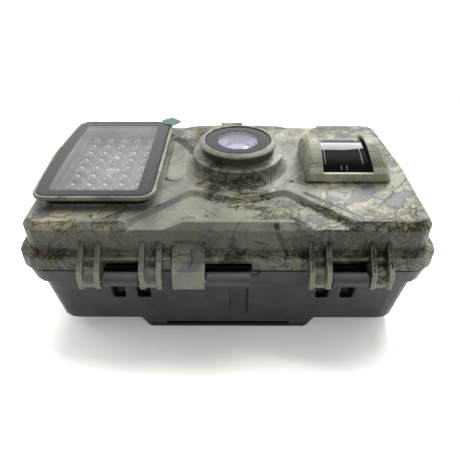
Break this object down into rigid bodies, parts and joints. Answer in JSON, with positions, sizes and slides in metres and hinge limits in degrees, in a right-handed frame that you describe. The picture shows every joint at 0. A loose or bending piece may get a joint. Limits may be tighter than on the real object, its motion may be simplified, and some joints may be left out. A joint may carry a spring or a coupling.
{
  "type": "trail camera",
  "caption": "Weatherproof trail camera lying on its back: hinged patterned front cover with lamp panel, lens and motion sensor over a battery-filled rear case with a strap frame.",
  "frame": {"origin": "middle of the strap frame's resting face, under the middle of the body", "axes": "+Z out of the camera's front, +X towards the motion sensor end (the lower end in use), +Y towards the latch; the cover's hinge runs along X on the -Y side"},
  "size_m": [0.137, 0.0948, 0.0591],
  "materials": {
    "camo_plastic": "satin, film-printed with a woodland pattern",
    "black_plastic": "satin moulded ABS",
    "seal_rubber": "matt",
    "battery_jacket": "printed sleeve, semi-gloss",
    "contact_steel": "nickel-plated",
    "cable_jacket": "PVC, satin",
    "insert_brass": "turned",
    "pin_steel": "plated",
    "lamp_window": "clear acrylic with a black printed border",
    "lens_window": "gloss, black printed ring round a clear middle",
    "filter_glass": "coated",
    "sensor_window": "gloss black infrared-clear plastic",
    "circuit_board": "solder mask",
    "pull_film": "thin polyester film",
    "component_plastic": "moulded",
    "shield_steel": "tin-plated",
    "display_acrylic": "clear",
    "display_glass": "gloss",
    "key_plastic": "satin"
  },
  "bodies": {
    "rear": {"rear_case": "black_plastic", "battery_tray": "black_plastic", "gasket": "seal_rubber", "battery_1": "battery_jacket", "battery_2": "battery_jacket", "battery_3": "battery_jacket", "battery_4": "battery_jacket", "battery_5": "battery_jacket", "battery_6": "battery_jacket", "battery_7": "battery_jacket", "battery_8": "battery_jacket", "contact_bridge_1": "contact_steel", "contact_bridge_2": "contact_steel", "contact_bridge_3": "contact_steel", "contact_bridge_4": "contact_steel", "contact_pair_left_1": "contact_steel", "contact_pair_left_2": "contact_steel", "contact_pair_right": "contact_steel", "contact_plus": "contact_steel", "contact_minus": "contact_steel", "battery_lead": "cable_jacket", "tripod_insert": "insert_brass", "hinge_pin_left": "pin_steel", "hinge_pin_right": "pin_steel", "hinge_pin_centre": "pin_steel"},
    "cover": {"front_shell": "camo_plastic", "led_bezel": "camo_plastic", "led_window": "lamp_window", "ir_led_board": "circuit_board", "protective_film": "pull_film", "lens_ring": "camo_plastic", "lens_window": "lens_window", "lens_barrel": "component_plastic", "lens_holder": "component_plastic", "pir_bezel": "camo_plastic", "pir_lens": "sensor_window", "pir_sensor": "shield_steel", "main_board": "circuit_board", "inner_cover": "black_plastic", "display_window": "display_acrylic", "display_panel": "display_glass", "mode_switch": "component_plastic", "card_socket": "shield_steel", "usb_socket": "shield_steel", "microphone": "component_plastic", "panel_screw_1": "pin_steel", "panel_screw_2": "pin_steel", "panel_screw_3": "pin_steel", "panel_screw_4": "pin_steel", "latch_pin": "pin_steel"},
    "up_key": {"key_up": "key_plastic"},
    "down_key": {"key_down": "key_plastic"},
    "left_key": {"key_left": "key_plastic"},
    "right_key": {"key_right": "key_plastic"},
    "ok_key": {"key_ok": "key_plastic"},
    "menu_key": {"key_menu": "key_plastic"},
    "mode_knob": {"switch_knob": "key_plastic"},
    "card": {"memory_card": "component_plastic"},
    "cut_filter": {"ir_cut_filter": "filter_glass"},
    "latch": {"latch_lever": "camo_plastic"}
  },
  "joints": [
    {"name": "cover_hinge", "type": "hinge", "parent": "rear", "child": "cover", "pos_m": [0, -0.045, 0.0319], "axis": [1, 0, 0], "range_deg": [0, 175]},
    {"name": "latch_hinge", "type": "hinge", "parent": "cover", "child": "latch", "pos_m": [0.00145, 0.0438, 0.0433], "axis": [1, 0, 0], "range_deg": [0, 95]},
    {"name": "up_press", "type": "slide", "parent": "cover", "child": "up_key", "axis": [0, 0, 1], "range_m": [0, 0.0007]},
    {"name": "down_press", "type": "slide", "parent": "cover", "child": "down_key", "axis": [0, 0, 1], "range_m": [0, 0.0007]},
    {"name": "left_press", "type": "slide", "parent": "cover", "child": "left_key", "axis": [0, 0, 1], "range_m": [0, 0.0007]},
    {"name": "right_press", "type": "slide", "parent": "cover", "child": "right_key", "axis": [0, 0, 1], "range_m": [0, 0.0007]},
    {"name": "ok_press", "type": "slide", "parent": "cover", "child": "ok_key", "axis": [0, 0, 1], "range_m": [0, 0.0007]},
    {"name": "menu_press", "type": "slide", "parent": "cover", "child": "menu_key", "axis": [0, 0, 1], "range_m": [0, 0.0007]},
    {"name": "mode_slide", "type": "slide", "parent": "cover", "child": "mode_knob", "axis": [1, 0, 0], "range_m": [0, 0.006]},
    {"name": "card_slide", "type": "slide", "parent": "cover", "child": "card", "axis": [1, 0, 0], "range_m": [-0.0005, 0.012]},
    {"name": "filter_slide", "type": "slide", "parent": "cover", "child": "cut_filter", "axis": [1, 0, 0], "range_m": [0, 0.007]}
  ]
}
